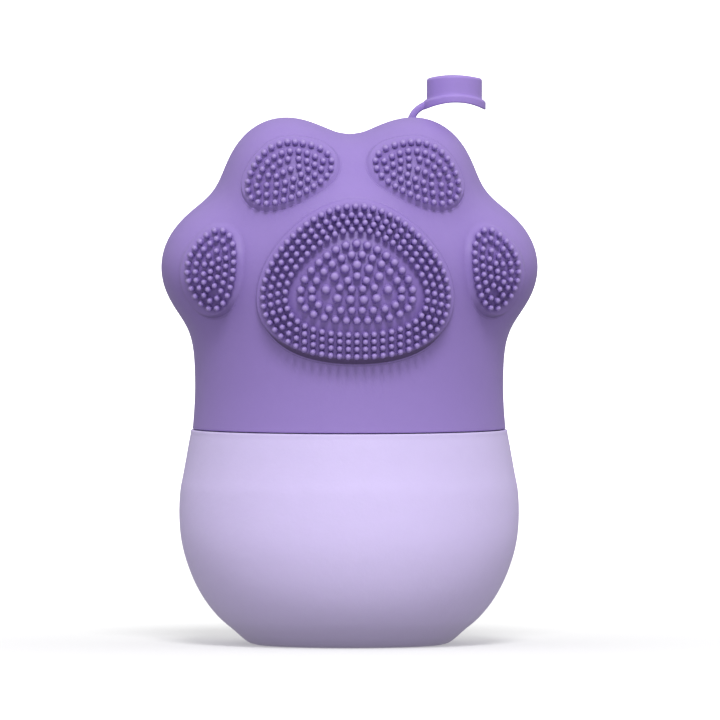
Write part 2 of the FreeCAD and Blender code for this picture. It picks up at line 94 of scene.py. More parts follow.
def paw(P):
    x, y, z = P[..., 0], P[..., 1], P[..., 2]
    ax = np.abs(x)
    fz = np.maximum(FLARE_Z - z, 0.0)
    cyl = np.sqrt(x * x + y * y + 1e-9) - R_TRUNK - FLARE * fz * fz / (FLARE_Z - 45.0) ** 2
    dome = ell(x, y, z - ZC, (R_TRUNK, R_TRUNK, HZ))
    D = [np.where(z < ZC, cyl, dome)]
    c, s = math.cos(TOE_A), math.sin(TOE_A)
    for dx in (ax - TOE[0], -ax - TOE[0]):
        dz = z - TOE[2]
        D.append(ell(c * dx - s * dz, y - TOE[1], s * dx + c * dz, TOE_R))
    c, s = math.cos(SIDE_A), math.sin(SIDE_A)
    dx, dz = ax - SIDE[0], z - SIDE[2]
    D.append(ell(c * dx - s * dz, y - SIDE[1], s * dx + c * dz, SIDE_R))
    D.append(ell(x - PALM[0], y - PALM[1], z - PALM[2], PALM_R))
    D = np.stack(D, -1)
    m = D.min(-1)
    return m - BLEND * np.log(np.exp((m[..., None] - D) / BLEND).sum(-1))


def grad(P, e=1e-3):
    g = np.zeros(P.shape)
    for i in range(3):
        d = np.zeros(3)
        d[i] = e
        g[..., i] = (paw(P + d) - paw(P - d)) / (2 * e)
    return g


def unit(v):
    return v / np.maximum(np.linalg.norm(v, axis=-1, keepdims=True), 1e-12)


def cast(O, D, h, far=90.0, n=30):
    lo = np.zeros(O.shape[:-1])
    hi = np.full(O.shape[:-1], far)
    for _ in range(n):
        m = 0.5 * (lo + hi)
        inside = paw(O + D * m[..., None]) < h
        lo = np.where(inside, m, lo)
        hi = np.where(inside, hi, m)
    return O + D * lo[..., None]


def front(x, z, h):
    """Point of the surface at height h seen from the brush side at x, z."""
    x, z = np.asarray(x, float), np.asarray(z, float)
    O = np.stack([x, np.zeros_like(x), z], -1)
    return cast(O, np.array([0, -1.0, 0]), h, 60.0)


def snap(P, h, n=3):
    for _ in range(n):
        g = grad(P)
        P = P + ((h - paw(P)) / np.maximum((g * g).sum(-1), 1e-9))[..., None] * g
    return P


# ------------------------------------------------------------------ meshes
def make_mesh(name, V, F, smooth=True):
    me = bpy.data.meshes.new(name)
    me.from_pydata([tuple(v) for v in (np.asarray(V) * MM).tolist()], [], [tuple(f) for f in F])
    me.validate()
    me.update()
    if smooth:
        me.polygons.foreach_set("use_smooth", [True] * len(me.polygons))
    ob = bpy.data.objects.new(name, me)
    bpy.context.scene.collection.objects.link(ob)
    return ob


def grid_faces(rows, cols, close_rows=False, base=0, flip=False):
    F = []
    last = rows if close_rows else rows - 1
    for r in range(last):
        a, b = r * cols + base, ((r + 1) % rows) * cols + base
        for c in range(cols):
            d = (c + 1) % cols
            q = (a + c, a + d, b + d, b + c)
            F.append(q[::-1] if flip else q)
    return F


def recalc(ob):
    import bmesh
    bm = bmesh.new()
    bm.from_mesh(ob.data)
    bmesh.ops.remove_doubles(bm, verts=bm.verts, dist=1e-8)
    bmesh.ops.recalc_face_normals(bm, faces=bm.faces)
    bm.to_mesh(ob.data)
    bm.free()
    ob.data.polygons.foreach_set("use_smooth", [True] * len(ob.data.polygons))


def rings(name, G, close_rows=False, fan_first=False, fan_last=False):
    """Closed tube of quads from rings G[row, col, 3]; a fan closes an end ring to its middle."""
    R, C = G.shape[:2]
    V = G.reshape(-1, 3)
    F = grid_faces(R, C, close_rows)
    if fan_first:
        V = np.vstack([V, G[0].mean(0)])
        k = len(V) - 1
        F += [(k, (c + 1) % C, c) for c in range(C)]
    if fan_last:
        V = np.vstack([V, G[-1].mean(0)])
        k = len(V) - 1
        b = (R - 1) * C
        F += [(k, b + c, b + (c + 1) % C) for c in range(C)]
    ob = make_mesh(name, V, F)
    recalc(ob)
    return ob


def rounded(profile, radii, seg=6):
    """Corner-rounded closed polyline in (r, z)."""
    out = []
    n = len(profile)
    for i in range(n):
        p0, p1, p2 = (np.array(profile[(i + k) % n], float) for k in (-1, 0, 1))
        r = radii[i] if hasattr(radii, "__len__") else radii
        u, v = unit(p0 - p1), unit(p2 - p1)
        turn = math.acos(max(-1.0, min(1.0, float(-u @ v))))
        if r <= 0 or turn < 0.02:
            out.append(p1)
            continue
        k = r * math.tan(turn / 2)
        k = min(k, 0.49 * np.linalg.norm(p0 - p1), 0.49 * np.linalg.norm(p2 - p1))
        rr = k / math.tan(turn / 2)
        c = p1 + unit(u + v) * math.hypot(rr, k)
        a, b = p1 + u * k - c, p1 + v * k - c
        for j in range(seg + 1):
            t = j / seg
            w = unit(a * math.sin((1 - t) * turn) + b * math.sin(t * turn)) if turn < math.pi - 1e-3 else unit(a * (1 - t) + b * t)
            out.append(c + w * rr)
    return np.array(out)


def densify(pts, step, closed=True):
    out = []
    n = len(pts)
    for i in range(n if closed else n - 1):
        a, b = pts[i], pts[(i + 1) % n]
        k = max(1, int(math.ceil(np.linalg.norm(b - a) / step)))
        for j in range(k):
            out.append(a + (b - a) * j / k)
    if not closed:
        out.append(pts[-1])
    return np.array(out)


def revolve(name, prof, cols=256):
    a = np.linspace(0, 2 * np.pi, cols, endpoint=False)
    G = np.zeros((len(prof), cols, 3))
    G[..., 0] = prof[:, 0][:, None] * np.cos(a)
    G[..., 1] = prof[:, 0][:, None] * np.sin(a)
    G[..., 2] = prof[:, 1][:, None]
    return G


def catmull(pts, n):
    """Smooth curve through points, n samples on each span."""
    pts = np.array(pts, float)
    P = np.vstack([2 * pts[0] - pts[1], pts, 2 * pts[-1] - pts[-2]])
    d = np.sqrt(np.linalg.norm(np.diff(P, axis=0), axis=1))
    t = np.concatenate([[0], np.cumsum(d)])
    out = []
    for i in range(1, len(P) - 2):
        for k in range(n):
            s = t[i] + (t[i + 1] - t[i]) * k / n
            def L(a, b, ta, tb):
                return (tb - s) / (tb - ta) * a + (s - ta) / (tb - ta) * b
            A1 = L(P[i - 1], P[i], t[i - 1], t[i])
            A2 = L(P[i], P[i + 1], t[i], t[i + 1])
            A3 = L(P[i + 1], P[i + 2], t[i + 1], t[i + 2])
            B1 = L(A1, A2, t[i - 1], t[i + 1])
            B2 = L(A2, A3, t[i], t[i + 2])
            out.append(L(B1, B2, t[i], t[i + 1]))
    out.append(pts[-1])
    return np.array(out)


# ------------------------------------------------------------------ materials
def new_material(name):
    m = bpy.data.materials.new(name)
    m.use_nodes = True
    nt = m.node_tree
    nt.nodes.clear()
    out = nt.nodes.new("ShaderNodeOutputMaterial")
    bs = nt.nodes.new("ShaderNodeBsdfPrincipled")
    nt.links.new(bs.outputs["BSDF"], out.inputs["Surface"])
    tc = nt.nodes.new("ShaderNodeTexCoord")
    return m, nt, bs, tc


def noise(nt, tc, scale, detail=2.0, rough=0.5):
    n = nt.nodes.new("ShaderNodeTexNoise")
    n.inputs["Scale"].default_value = scale
    n.inputs["Detail"].default_value = detail
    n.inputs["Roughness"].default_value = rough
    nt.links.new(tc.outputs["Object"], n.inputs["Vector"])
    return n


def ramp(nt, src, lo, hi, a, b):
    """Map a grey value to another range."""
    m = nt.nodes.new("ShaderNodeMapRange")
    m.inputs["From Min"].default_value = lo
    m.inputs["From Max"].default_value = hi
    m.inputs["To Min"].default_value = a
    m.inputs["To Max"].default_value = b
    nt.links.new(src, m.inputs["Value"])
    return m.outputs["Result"]


def silicone(name, color, rough=0.5, var=0.01, grain=1800.0, bump=0.02, sss=0.12, radius=(0.0016, 0.0012, 0.0022), spec=0.5, crevice_shade=0.0, reach=3.2, tip_highlight=0.0, under=0.0, shade=(), shade_ao_range=(0.45, 0.98)):
    m, nt, bs, tc = new_material(name)
    # body colour with a faint uneven tint, as pigment in a moulded silicone has
    big = noise(nt, tc, 38.0, 3.0, 0.55)
    fine = noise(nt, tc, 420.0, 2.0, 0.5)
    mix = nt.nodes.new("ShaderNodeMix")
    mix.data_type = "RGBA"
    mix.inputs["A"].default_value = (*[c * (1 - var) for c in color], 1)
    mix.inputs["B"].default_value = (*[min(1.0, c * (1 + var)) for c in color], 1)
    add = nt.nodes.new("ShaderNodeMath")
    add.operation = "ADD"
    h = nt.nodes.new("ShaderNodeMath")
    h.operation = "MULTIPLY"
    h.inputs[1].default_value = 0.5
    nt.links.new(big.outputs["Fac"], add.inputs[0])
    nt.links.new(fine.outputs["Fac"], add.inputs[1])
    nt.links.new(add.outputs[0], h.inputs[0])
    nt.links.new(ramp(nt, h.outputs[0], 0.36, 0.64, 0.0, 1.0), mix.inputs["Factor"])
    body = mix.outputs["Result"]
    if crevice_shade > 0:
        # painted shade: colour darkened by ambient occlusion down between the bristles and in other hollows, where
        # little light gets in
        ao = nt.nodes.new("ShaderNodeAmbientOcclusion")
        ao.samples = 8
        ao.inputs["Distance"].default_value = reach * MM
        deep = nt.nodes.new("ShaderNodeMix")
        deep.data_type = "RGBA"
        deep.blend_type = "MULTIPLY"
        deep.inputs["B"].default_value = (0.46, 0.38, 0.54, 1)
        nt.links.new(ramp(nt, ao.outputs["AO"], shade_ao_range[0], shade_ao_range[1], crevice_shade, 0.0), deep.inputs["Factor"])
        nt.links.new(body, deep.inputs["A"])
        body = deep.outputs["Result"]
        if tip_highlight > 0:
            # painted highlight: where little is in the way of the light, as on the bristles' rounded tips, the colour
            # is painted paler
            painted_tip_highlight = nt.nodes.new("ShaderNodeMix")
            painted_tip_highlight.data_type = "RGBA"
            painted_tip_highlight.inputs["B"].default_value = (0.62, 0.52, 0.80, 1)
            nt.links.new(ramp(nt, ao.outputs["AO"], 0.74, 1.0, 0.0, tip_highlight), painted_tip_highlight.inputs["Factor"])
            nt.links.new(body, painted_tip_highlight.inputs["A"])
            body = painted_tip_highlight.outputs["Result"]
    if shade:
        # painted shade by height: a little darker up at the rim and much darker towards the foot, standing in for
        # shading and a contact shadow
        sep = nt.nodes.new("ShaderNodeSeparateXYZ")
        nt.links.new(tc.outputs["Object"], sep.inputs[0])
        cr = nt.nodes.new("ShaderNodeValToRGB")
        top = shade[-1][0]
        nt.links.new(ramp(nt, sep.outputs["Z"], 0.0, top * MM, 0.0, 1.0), cr.inputs["Fac"])
        cr.color_ramp.interpolation = "B_SPLINE"
        el = cr.color_ramp.elements
        while len(el) < len(shade):
            el.new(0.5)
        for i, (z, k) in enumerate(shade):
            el[i].position = z / top
            el[i].color = (k, k, k, 1)
        height_shade_mix = nt.nodes.new("ShaderNodeMix")
        height_shade_mix.data_type = "RGBA"
        height_shade_mix.blend_type = "MULTIPLY"
        height_shade_mix.inputs["Factor"].default_value = 1.0
        nt.links.new(body, height_shade_mix.inputs["A"])
        nt.links.new(cr.outputs["Color"], height_shade_mix.inputs["B"])
        body = height_shade_mix.outputs["Result"]
    if under > 0:
        # painted shade: faces turned down, most of all low on the palm pad, are painted darker as if in shade
        geo = nt.nodes.new("ShaderNodeNewGeometry")
        sep = nt.nodes.new("ShaderNodeSeparateXYZ")
        nt.links.new(geo.outputs["Normal"], sep.inputs[0])
        underside_shade_mix = nt.nodes.new("ShaderNodeMix")
        underside_shade_mix.data_type = "RGBA"
        underside_shade_mix.blend_type = "MULTIPLY"
        underside_shade_mix.inputs["B"].default_value = (0.42, 0.42, 0.36, 1)
        pos = nt.nodes.new("ShaderNodeSeparateXYZ")
        nt.links.new(tc.outputs["Object"], pos.inputs[0])
        low = nt.nodes.new("ShaderNodeMath")
        low.operation = "MULTIPLY"
        nt.links.new(ramp(nt, sep.outputs["Z"], -0.12, -0.72, 0.0, under), low.inputs[0])
        nt.links.new(ramp(nt, pos.outputs["Z"], 70.0 * MM, 64.5 * MM, 0.25, 1.0), low.inputs[1])
        nt.links.new(low.outputs[0], underside_shade_mix.inputs["Factor"])
        nt.links.new(body, underside_shade_mix.inputs["A"])
        body = underside_shade_mix.outputs["Result"]
    nt.links.new(body, bs.inputs["Base Color"])
    # matte moulded skin: uneven gloss and a fine orange-peel grain
    nt.links.new(ramp(nt, noise(nt, tc, 160.0, 4.0, 0.6).outputs["Fac"], 0.3, 0.7, rough - 0.035, rough + 0.035), bs.inputs["Roughness"])
    g = noise(nt, tc, grain, 3.0, 0.6)
    g2 = noise(nt, tc, grain * 0.33, 2.0, 0.5)
    s = nt.nodes.new("ShaderNodeMath")
    s.operation = "ADD"
    nt.links.new(g.outputs["Fac"], s.inputs[0])
    nt.links.new(g2.outputs["Fac"], s.inputs[1])
    b = nt.nodes.new("ShaderNodeBump")
    b.inputs["Strength"].default_value = 1.0
    b.inputs["Distance"].default_value = bump * MM
    nt.links.new(s.outputs[0], b.inputs["Height"])
    nt.links.new(b.outputs["Normal"], bs.inputs["Normal"])
    bs.inputs["Specular IOR Level"].default_value = spec
    bs.inputs["IOR"].default_value = 1.41
    if sss > 0:
        bs.inputs["Subsurface Weight"].default_value = sss
        bs.inputs["Subsurface Radius"].default_value = (1.0, 0.75, 1.0)
        bs.inputs["Subsurface Scale"].default_value = radius[0]
    return m


PURPLE = (0.294, 0.202, 0.535)
LILAC = (0.69, 0.593, 0.938)
# painted shade in the paw, pad and bristle colours: darker in hollows and, on the pads, on faces turned down; painted
# highlight: paler bristle tips
mat_paw = silicone("paw_silicone", PURPLE, rough=0.48, crevice_shade=0.60, reach=6.0)
mat_pad = silicone("pad_silicone", PURPLE, rough=0.48, sss=0.03, crevice_shade=0.56, under=1.0, shade_ao_range=(0.58, 1.0))
mat_bristle = silicone("bristle_silicone", PURPLE, rough=0.38, bump=0.006, sss=0.0, crevice_shade=0.06, tip_highlight=0.16)
mat_plug = silicone("plug_silicone", [c * 1.14 for c in PURPLE], rough=0.46)
# the holder's colour carries painted shade by height: darker at the foot and a little darker at the rim
mat_base = silicone("holder_silicone", LILAC, rough=0.5, grain=1300.0, bump=0.03,
                    shade=((0.0, 0.60), (1.3, 0.68), (2.6, 0.76), (3.8, 0.83), (5.1, 0.91), (7.6, 0.965), (12.2, 0.985), (18.5, 1.0),
                           (22.7, 0.97), (27.0, 0.965), (33.0, 0.893), (45.0, 0.878)))
mat_collar = silicone("collar_plastic", (0.78, 0.76, 0.84), rough=0.38, var=0.01, sss=0.0, bump=0.006)
mat_seal = silicone("seal_silicone", (0.68, 0.64, 0.78), rough=0.42)


def finish_piece(ob, body, mat, slot, *nodes):
    ob.data.materials.clear()
    ob.data.materials.append(mat)
    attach(ob, body)
    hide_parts(*nodes)
    return ob


# ------------------------------------------------------------------ paw cover
NU = 320
phi = np.linspace(0, 2 * np.pi, NU, endpoint=False)


def ring_dir(tilt):
    """Unit vectors round an axis tilted back by tilt, and the axis."""
    ey = np.array([0, math.cos(tilt), -math.sin(tilt)])
    ax = np.array([0, math.sin(tilt), math.cos(tilt)])
    return np.cos(phi)[:, None] * np.array([1.0, 0, 0]) + np.sin(phi)[:, None] * ey, ax


def skin(h, rho0, skirt=None, fan=90, straight=30):
    """Rings of the paw at height h, from radius rho0 round the filler axis down to the skirt's edge."""
    rows = []
    for k in range(fan):
        s = k / float(fan)
        el = math.radians(90.0) * (1 - s) ** 1.0
        tilt = TILT * (1 - s) ** 2
        e, ax = ring_dir(tilt)
        ro = rho0 * (1 - s) ** 3
        base = (1 - s) ** 2
        start = np.array([0, 0, 66.0]) * (1 - base) + (PORT - A_DIR * 26.0) * base
        O = start + e * ro
        D = e * math.cos(el) + ax * math.sin(el)
        rows.append(cast(O, D, h, 80.0))
    e, ax = ring_dir(0.0)
    for k in range(straight + 1):
        z = 66.0 + (SKIRT_Z - 66.0) * k / straight
        O = np.zeros((NU, 3)) + np.array([0, 0, z])
        P = cast(O, e, h, 80.0)
        if skirt is not None:
            w = min(1.0, max(0.0, (z - SKIRT_BORE_TOP) / 6.0))
            w = w * w * (3 - 2 * w)
            r = np.linalg.norm(P - O, axis=1)
            P = O + e * (skirt + (r - skirt) * w)[:, None]
        rows.append(P)
    return np.array(rows)


def resample(G, n, keep=lambda s: s):
    """Even spacing along every column of a ring grid."""
    d = np.linalg.norm(np.diff(G, axis=0), axis=2)
    s = np.vstack([np.zeros(G.shape[1]), np.cumsum(d, 0)])
    out = np.zeros((n, G.shape[1], 3))
    t = keep(np.linspace(0, 1, n))
    for c in range(G.shape[1]):
        u = s[:, c] / s[-1, c]
        for k in range(3):
            out[:, c, k] = np.interp(t, u, G[:, c, k])
    return out


def build_cover():
    outer = skin(0.0, SEAT_R + 0.45, fan=200, straight=60)
    outer = resample(outer, 140)
    outer[1:-1] = snap(outer[1:-1], 0.0, 2)
    # keep the last two rings clear of the rounded skirt edge
    edge_r = np.linalg.norm(outer[-1][:, :2], axis=1)
    e, _ = ring_dir(0.0)
    rr = 0.16
    outer = outer[:-1]
    skirt_rows = []
    for j in range(7):
        t = math.pi / 2 * j / 6
        r = edge_r - rr * (1 - math.cos(t))
        z = SKIRT_Z + rr * (1 - math.sin(t))
        skirt_rows.append(np.concatenate([e[:, :2] * r[:, None], np.full((NU, 1), z)], 1))
    for r in (31.6, 30.4, SKIRT_R_IN + 0.25):
        skirt_rows.append(np.concatenate([e[:, :2] * r, np.full((NU, 1), SKIRT_Z)], 1))
    for j in range(1, 5):
        t = math.pi / 2 * j / 4
        r = SKIRT_R_IN + 0.25 * (1 - math.sin(t))
        skirt_rows.append(np.concatenate([e[:, :2] * r, np.full((NU, 1), SKIRT_Z + 0.25 * (1 - math.cos(t)))], 1))
    inner = skin(-COVER_WALL, PORT_R + 0.3, SKIRT_R_IN, fan=120, straight=40)
    inner = resample(inner, 70)[::-1]
    # filler hole and its seat, ring by ring round the tilted axis
    eh, ax = ring_dir(TILT)

    def out_a(rho):
        O = at(0, PORT_A - 26.0) + eh * rho
        return (cast(O, ax, 0.0, 60.0) @ A_DIR)

    def in_a(rho):
        O = at(0, PORT_A - 26.0) + eh * rho
        return (cast(O, ax, -COVER_WALL, 60.0) @ A_DIR)

    def seat_a(rho):
        x = rho * np.cos(phi)
        rb = FLANGE_BEND + FLANGE_T
        return PORT_A - SEAT_DEEP + rb - np.sqrt(rb * rb - x * x)

    def ring(rho, a):
        return at(0, 0) + eh * rho + ax * np.asarray(a)[:, None]

    hole = []
    deep = np.maximum(out_a(SEAT_R) - seat_a(SEAT_R), 0.0)
    r1 = np.minimum(0.3, deep * 0.5)
    for j in range(1, 6):
        t = math.pi / 2 * j / 5
        rho = SEAT_R + 0.3 * (1 - math.sin(t))
        hole.append(ring(rho, out_a(rho) - r1 * (1 - math.cos(t))))
    low = np.minimum(seat_a(SEAT_R), out_a(SEAT_R) - r1)
    hole.append(ring(SEAT_R, low + 0.5 * (out_a(SEAT_R) - r1 - low)))
    for j in range(1, 5):
        t = math.pi / 2 * j / 4
        rho = SEAT_R - 0.2 * (1 - math.cos(t))
        hole.append(ring(rho, np.minimum(seat_a(rho) + np.minimum(0.2, deep * 0.4) * (1 - math.sin(t)), out_a(rho))))
    for j in range(5):
        t = math.pi / 2 * j / 4
        rho = PORT_R + 0.3 * (1 - math.sin(t))
        hole.append(ring(rho, np.minimum(seat_a(rho), out_a(rho)) - 0.3 * (1 - math.cos(t))))
    top_in = np.minimum(seat_a(PORT_R), out_a(PORT_R)) - 0.3
    bot_in = in_a(PORT_R) + 0.3
    for j in range(1, 6):
        hole.append(ring(PORT_R, top_in + (bot_in - top_in) * j / 6))
    for j in range(5):
        t = math.pi / 2 * j / 4
        rho = PORT_R + 0.3 * (1 - math.cos(t))
        hole.append(ring(rho, in_a(rho) + 0.3 * (1 - math.sin(t))))
    # outer top -> skirt -> inner -> hole from the inside up, closed loop
    G = np.concatenate([outer, np.array(skirt_rows), inner[1:-1], np.array(hole)[::-1]], 0)
    return G


cover = rings("paw_cover_skin", build_cover(), close_rows=True)
finish_piece(cover, "cover", mat_paw, "paw_silicone", "paw_cover")

# ------------------------------------------------------------------ bristle maps
RING = {
    "fine_a": (60, 0.0, (18.74, .54, -.47, -.33, .04), (75.84, -15.96, .79, .41, .32, -.06)),
    "fine_b": (55, 0.0, (17.21, .51, -.49, -.33, .03), (75.79, -14.33, .77, .44, .28, -.06)),
    "fine_c": (50, 0.0, (15.69, .53, -.49, -.33, .03), (75.84, -12.81, .77, .41, .24, -.08)),
    "fine_d": (45, 0.0, (14.18, .51, -.49, -.34, .06), (75.83, -11.29, .79, .40, .22, -.10)),
    "nub_a": (28, 0.0, (11.08, .45, -.47, -.28, .06), (75.90, -8.22, .80, .31, .15, -.11)),
    "nub_b": (22, 0.5, (8.90, .43, -.44, -.25), (75.98, -6.02, .77, .20, .10)),
    "nub_c": (7, 0.5, (3.16, .34, -.48), (76.46, -1.36, .40, .04)),
}
LARGE = ((1.38, 73.24), (4.05, 73.55), (6.45, 75.35), (4.62, 78.06), (2.50, 79.69))
TOP_RIM = (27, (-13.74, -4.81, 6.67, -.15, -.25, .33, .39, -.10, .13, .12, -.02),
           (99.57, -6.01, -2.04, -.24, .41, -.19, .30, -.09, .02, .06, .07))
TOP_FIELD = ((-18.27, 94.90), (-16.42, 95.25), (-14.68, 95.72), (-12.96, 96.35), (-11.31, 97.14), (-9.74, 98.00), (-8.23, 99.03),
             (-6.87, 100.25), (-6.39, 101.88), (-8.04, 102.80), (-9.72, 103.51), (-11.47, 103.92), (-13.30, 103.92),
             (-15.00, 103.55), (-16.59, 102.75), (-17.96, 101.60), (-19.05, 100.13), (-19.79, 98.52), (-20.28, 96.74),
             (-19.90, 95.18), (-18.23, 96.88), (-16.18, 96.98), (-14.43, 97.49), (-12.73, 98.17), (-11.11, 99.08),
             (-9.60, 100.11), (-8.23, 101.14), (-9.82, 101.86), (-11.52, 102.34), (-13.76, 102.28), (-15.43, 101.64),
             (-16.84, 100.50), (-17.85, 98.91), (-16.21, 98.71), (-14.82, 99.55), (-13.26, 100.23), (-11.49, 100.72))
SIDE_RIM = (23, (-29.56, -1.01, 4.82, .42, .0, -.06, .31, -.03, -.02, .0, .07),
            (79.24, -7.58, -.67, -.02, -.18, -.49, -.02, .03, -.15, -.11, -.01))
SIDE_FIELD = ((-30.07, 72.68), (-28.62, 73.22), (-27.84, 74.77), (-27.39, 76.49), (-27.03, 78.20), (-26.85, 79.94),
              (-26.75, 81.65), (-26.89, 83.48), (-27.35, 85.16), (-28.66, 85.60), (-29.98, 84.63), (-31.29, 83.43),
              (-32.23, 82.00), (-32.81, 80.39), (-33.05, 78.71), (-32.86, 76.95), (-32.24, 75.32), (-31.25, 73.80),
              (-30.49, 75.05), (-29.15, 75.84), (-28.55, 77.65), (-28.37, 79.46), (-28.27, 81.36), (-28.70, 83.14),
              (-30.32, 82.00), (-31.15, 80.29), (-31.37, 78.30), (-31.32, 76.55), (-30.03, 77.36), (-29.97, 78.83),
              (-29.65, 80.44))


def sym(ring, t):
    _, _, b, a = ring
    return (sum(c * math.sin((k + 1) * t) for k, c in enumerate(b)),
            sum(c * math.cos(k * t) for k, c in enumerate(a)))


def gen(xs, zs, t):
    def f(c):
        s = c[0]
        for k in range(1, (len(c) + 1) // 2):
            s += c[2 * k - 1] * math.cos(k * t) + c[2 * k] * math.sin(k * t)
        return s
    return f(xs), f(zs)


def offset(pts, d, shift=(0, 0)):
    pts = np.asarray(pts, float)
    t = np.roll(pts, -1, 0) - np.roll(pts, 1, 0)
    t /= np.linalg.norm(t, axis=1, keepdims=True)
    q = np.roll(pts, -1, 0)
    area = (pts[:, 0] * q[:, 1] - q[:, 0] * pts[:, 1]).sum()
    s = 1.0 if area > 0 else -1.0
    return pts + s * d * np.stack([t[:, 1], -t[:, 0]], 1) + np.array(shift)


def closed(fn, n):
    return np.array([fn(2 * math.pi * i / n) for i in range(n)])


def mirrored(pts):
    pts = np.array(pts)[::-1].copy()
    pts[:, 0] *= -1
    return pts


def even(pts, n):
    """n evenly spaced points on a closed line."""
    q = np.vstack([pts, pts[:1]])
    s = np.concatenate([[0], np.cumsum(np.linalg.norm(np.diff(q, axis=0), axis=1))])
    t = np.linspace(0, s[-1], n, endpoint=False)
    return np.stack([np.interp(t, s, q[:, k]) for k in (0, 1)], 1)


# ------------------------------------------------------------------ pads
def rise_at(rise, z):
    (z0, h0), (z1, h1) = rise
    t = np.clip((z0 - np.asarray(z, float)) / (z0 - z1), 0, 1)
    return h0 + (h1 - h0) * t


def pad_piece(name, outline, cols, rise, crisp=None, wide=1.15, low=None, line=1.0):
    """Raised pad: a fine bead and parting line round it, then a soft shoulder up to its face.

    crisp is (direction x, direction z, from, to): the line fades out away from that direction."""
    L = even(outline, cols)
    lw = np.zeros(cols)
    if low is not None:
        # along its bottom the edge runs out a little further and turns over more gently
        lw = np.clip((low[0] - L[:, 1]) / (low[0] - low[1]), 0, 1)
        lw = lw * lw * (3 - 2 * lw)
        q = np.roll(L, -1, 0) - np.roll(L, 1, 0)
        q /= np.linalg.norm(q, axis=1, keepdims=True)
        out = np.stack([q[:, 1], -q[:, 0]], 1)
        if ((L - L.mean(0)) * out).sum() < 0:
            out = -out
        L = L + out * (low[2] * lw)[:, None]
    base = front(L[:, 0], L[:, 1], 0.0)
    n = unit(grad(base))
    t = unit(np.roll(base, -1, 0) - np.roll(base, 1, 0))
    inward = np.cross(n, t)
    mid = base.mean(0)
    if ((mid - base) * inward).sum() < 0:
        inward = -inward
    w = np.ones(cols)
    if crisp is not None:
        d = L - L.mean(0)
        c = (d[:, 0] * crisp[0] + d[:, 1] * crisp[1]) / np.hypot(d[:, 0], d[:, 1])
        w = np.clip((c - crisp[2]) / (crisp[3] - crisp[2]), 0, 1)
        w = w * w * (3 - 2 * w)
    # distance inwards, height as a share of the rise, extra height
    prof = [(-0.46, 0, -0.30), (-0.42, 0, -0.04), (-0.34, 0, 0.012 * line), (-0.26, 0, 0.035 * line), (-0.18, 0, 0.04 * line),
            (-0.11, 0, 0.025 * line), (-0.05, 0, 0.008), (0.03, 0, 0.006), (0.08, 0.02, 0.04)]
    for j in range(1, 11):
        u = j / 10.0
        # starts steep and ends flat
        prof.append((0.08 + (wide - 0.08) * u, 0.02 + 0.98 * math.sin(math.pi / 2 * u) ** 1.15, 0.04 * (1 - u)))
    prof += [(wide + 0.3, 1.0, 0.0), (wide + 0.6, 1.0, 0.0), (wide + 0.9, 1.0, 0.0)]
    rows = []
    for d, k, h in prof:
        u = min(1.0, max(0.0, (d + 0.3) / (wide + 0.9)))
        k = w * k + (1 - w) * u * u * (3 - 2 * u)
        h = w * h + (1 - w) * (h if d < -0.3 else 0.014 * (1 - u))
        P = base + inward * (d * (1 + (low[3] * lw * (d > 0.03) if low is not None else 0 * lw)))[:, None]
        hh = k * rise_at(rise, P[:, 2]) + h
        P = P + n * hh[:, None]
        for _ in range(3):
            g = grad(P)
            P = P + ((hh - paw(P)) / np.maximum((g * g).sum(-1), 1e-9))[..., None] * g
        rows.append(P)
    last = rows[-1]
    cx, cz = last[:, 0].mean(), last[:, 2].mean()
    m = 14
    for k in range(1, m):
        s = 1 - k / float(m)
        x, z = cx + (last[:, 0] - cx) * s, cz + (last[:, 2] - cz) * s
        rows.append(front(x, z, rise_at(rise, z)))
    under = []
    first = rows[0]
    for k in range(1, m):
        s = 1 - k / float(m)
        under.append(front(cx + (first[:, 0] - cx) * s, cz + (first[:, 2] - cz) * s, -0.4))
    G = np.concatenate([np.array(under)[::-1], np.array(rows)], 0)
    return rings(name, G, fan_first=True, fan_last=True)


palm_line = closed(lambda t: sym((0, 0, (19.98, .58, -.49, -.34, .04), (75.93, -17.46, .78, .42, .32, -.07)), t), 720)
top_line = offset(closed(lambda t: gen(TOP_RIM[1], TOP_RIM[2], t), 720), 1.5, (0.25, -0.19))
side_line = offset(closed(lambda t: gen(SIDE_RIM[1], SIDE_RIM[2], t), 720), 1.75, (0.3, -0.25))
for nm, ln, cols, rise, crisp in (("palm_pad", palm_line, 360, PALM_RISE, None), ("toe_pad_top_left", top_line, 240, TOP_RISE, None),
                                  ("toe_pad_top_right", mirrored(top_line), 240, TOP_RISE, None),
                                  ("toe_pad_side_left", side_line, 220, SIDE_RISE, (-0.45, -0.89, 0.1, 0.7)),
                                  ("toe_pad_side_right", mirrored(side_line), 220, SIDE_RISE, (0.45, -0.89, 0.1, 0.7))):
    ob = pad_piece(nm + "_skin", ln, cols, rise, crisp, low=(68.0, 61.5, 0.28, 0.45) if nm == "palm_pad" else None,
                   line=1.6 if "top" in nm else 1.0)
    finish_piece(ob, "cover", mat_pad, "pad_silicone", nm)


